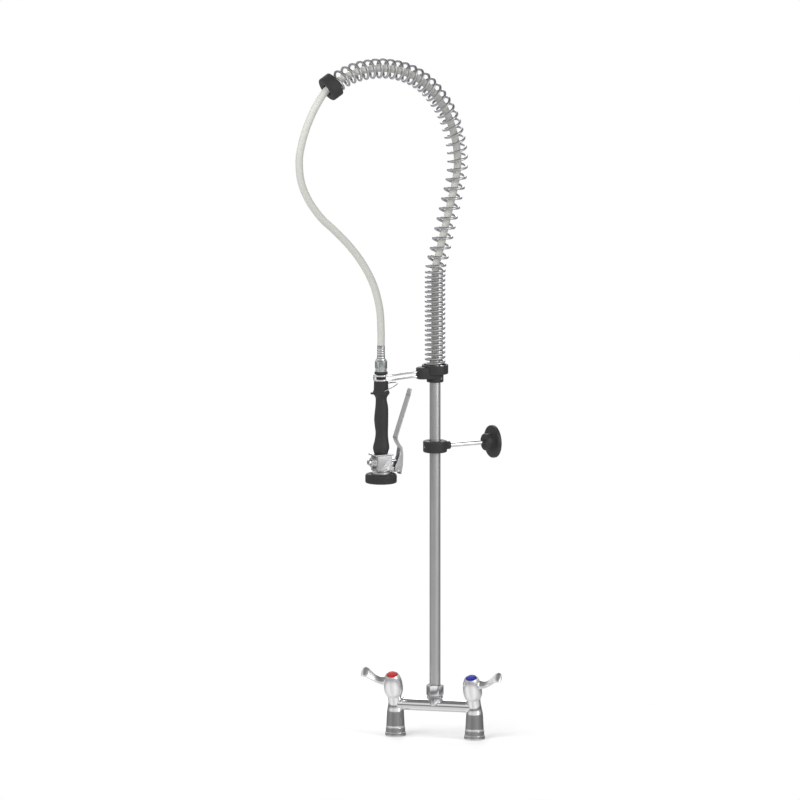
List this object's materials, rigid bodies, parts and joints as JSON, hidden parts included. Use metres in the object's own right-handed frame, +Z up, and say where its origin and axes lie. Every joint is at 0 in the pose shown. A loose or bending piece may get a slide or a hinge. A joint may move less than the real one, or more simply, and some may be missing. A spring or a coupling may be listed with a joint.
{
  "type": "pre-rinse faucet",
  "caption": "Deck-mounted twin-pillar bridge tap with a clamped riser, swivelling guide spring, hanging hose and a trigger spray gun parked in a wire hook",
  "frame": {"origin": "midway between the two pillars, on the deck that their flanges stand on", "axes": "+Z up, +X to the cold pillar, -Y towards the user"},
  "size_m": [0.3449, 0.3042, 1.2642],
  "materials": {
    "chrome": "polished",
    "steel": "satin",
    "brass": "machined",
    "black_plastic": "moulded satin",
    "rubber": "matt",
    "hose_skin": "clear coated braid",
    "hot_index": "gloss",
    "cold_index": "gloss"
  },
  "bodies": {
    "root": {"hot_base_flange": "chrome", "hot_base_seal": "rubber", "hot_pillar_body": "chrome", "hot_cartridge": "brass", "cold_base_flange": "chrome", "cold_base_seal": "rubber", "cold_pillar_body": "chrome", "cold_cartridge": "brass", "bridge_tube": "chrome", "riser_seal": "rubber", "riser_nut": "chrome", "riser_pipe": "steel", "stop_ring": "black_plastic", "stop_screw": "chrome", "hose_nipple": "brass"},
    "hot_handle": {"hot_lever": "chrome", "hot_spindle": "brass", "hot_lever_screw": "steel", "hot_index": "hot_index"},
    "cold_handle": {"cold_lever": "chrome", "cold_spindle": "brass", "cold_lever_screw": "steel", "cold_index": "cold_index"},
    "stay": {"wall_clamp": "black_plastic", "clamp_screw": "steel", "wall_rod": "chrome"},
    "wall_rose": {"wall_flange": "black_plastic", "flange_set_screw": "steel", "wall_plate": "steel"},
    "head": {"head_carrier": "black_plastic", "head_bush": "brass", "spring_seat": "steel", "gun_hook": "chrome", "guide_spring": "chrome", "spring_cap": "rubber", "inner_hose": "hose_skin", "free_hose": "hose_skin"},
    "hose_end": {"hose_ferrule": "chrome", "swivel_nut": "chrome", "swivel_washer": "rubber"},
    "gun": {"gun_core": "brass", "neck_ring_upper": "black_plastic", "neck_ring_lower": "black_plastic", "grip": "black_plastic", "valve_body": "chrome", "valve_spring": "steel", "rear_plug": "chrome", "lever_pin": "steel", "spray_plate": "steel", "bumper": "rubber"},
    "trigger": {"squeeze_lever": "chrome"},
    "plunger": {"plunger": "steel", "plunger_seal": "rubber"},
    "lock": {"lock_ring": "chrome"}
  },
  "joints": [
    {"name": "hot_lever_turn", "type": "hinge", "parent": "root", "child": "hot_handle", "pos_m": [-0.075, -0.01563, 0.09482], "axis": [0, -0.3907, 0.9205], "range_deg": [0, 90]},
    {"name": "cold_lever_turn", "type": "hinge", "parent": "root", "child": "cold_handle", "pos_m": [0.075, -0.01563, 0.09482], "axis": [0, 0.3907, -0.9205], "range_deg": [0, 90]},
    {"name": "stay_slide", "type": "slide", "parent": "root", "child": "stay", "axis": [0, 0, 1], "range_m": [-0.3, 0.1]},
    {"name": "rose_turn", "type": "hinge", "parent": "stay", "child": "wall_rose", "pos_m": [0.08045, 0.07502, 0.54], "axis": [0.7314, 0.682, 0], "continuous": true},
    {"name": "head_swing", "type": "hinge", "parent": "root", "child": "head", "pos_m": [0, 0, 0.682], "axis": [0, 0, 1], "range_deg": [-120, 120]},
    {"name": "gun_unhook", "type": "slide", "parent": "head", "child": "hose_end", "axis": [-0.682, 0.7314, 0], "range_m": [0, 0.06]},
    {"name": "gun_turn", "type": "hinge", "parent": "hose_end", "child": "gun", "pos_m": [-0.08191, -0.07638, 0.7], "axis": [0, 0, 1], "continuous": true},
    {"name": "trigger_squeeze", "type": "hinge", "parent": "gun", "child": "trigger", "pos_m": [-0.05924, -0.05524, 0.504], "axis": [0.682, -0.7314, 0], "range_deg": [0, 12], "stiffness_Nm_per_rad": 0.6, "springref_deg": -5.73, "deforming": ["valve_spring"]},
    {"name": "plunger_travel", "type": "slide", "parent": "gun", "child": "plunger", "axis": [-0.7314, -0.682, 0], "range_m": [0, 0.0034]},
    {"name": "lock_ring_tilt", "type": "hinge", "parent": "gun", "child": "lock", "pos_m": [-0.08191, -0.07638, 0.653], "axis": [-0.682, 0.7314, 0], "range_deg": [-5, 34]}
  ],
  "couplings": [
    {"joint": "plunger_travel", "follows": "trigger_squeeze", "m_per_rad": 0.016}
  ]
}
